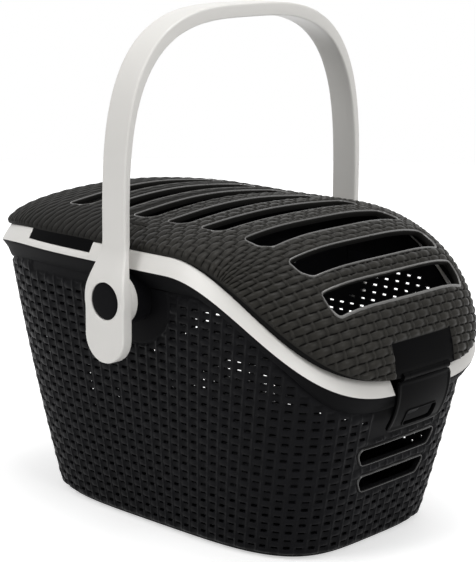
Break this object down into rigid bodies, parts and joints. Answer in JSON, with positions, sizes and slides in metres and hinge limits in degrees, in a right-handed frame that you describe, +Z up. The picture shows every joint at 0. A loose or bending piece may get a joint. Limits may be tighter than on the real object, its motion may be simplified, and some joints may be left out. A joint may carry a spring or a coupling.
{
  "type": "pet keeper",
  "caption": "Woven-look carrying basket for a small pet, with a pale rim band, a slotted domed lid that opens at the front, a folding carry handle and a front clasp.",
  "frame": {"origin": "centre of the rim's plan, on the flat base that the basket stands on", "axes": "+X towards the clasp end, +Z up, +Y to the left-hand side seen from behind; the two long sides mirror each other across Y"},
  "size_m": [0.509, 0.385, 0.526],
  "materials": {
    "dark_plastic": "satin moulded polypropylene with a woven relief",
    "pale_plastic": "smooth satin off-white moulded plastic"
  },
  "bodies": {
    "basket_body": {"basket": "dark_plastic", "rim_band": "pale_plastic", "rear_lid": "dark_plastic", "hinge_pin_left": "dark_plastic", "hinge_pin_right": "dark_plastic", "pivot_cap_left": "dark_plastic", "pivot_cap_right": "dark_plastic"},
    "front_lid_body": {"front_lid": "dark_plastic", "clasp_pin": "dark_plastic"},
    "clasp_body": {"front_clasp": "dark_plastic"},
    "handle_body": {"handle": "pale_plastic"}
  },
  "joints": [
    {"name": "lid_hinge", "type": "hinge", "parent": "basket_body", "child": "front_lid_body", "pos_m": [-0.0105, 0, 0.3035], "axis": [0, -1, 0], "range_deg": [0, 75]},
    {"name": "clasp_swing", "type": "hinge", "parent": "front_lid_body", "child": "clasp_body", "pos_m": [0.253, 0, 0.18727], "axis": [0, -1, 0], "range_deg": [0, 80]},
    {"name": "handle_fold", "type": "hinge", "parent": "basket_body", "child": "handle_body", "pos_m": [0.008, 0, 0.2465], "axis": [0, -1, 0], "range_deg": [0, 90]}
  ]
}
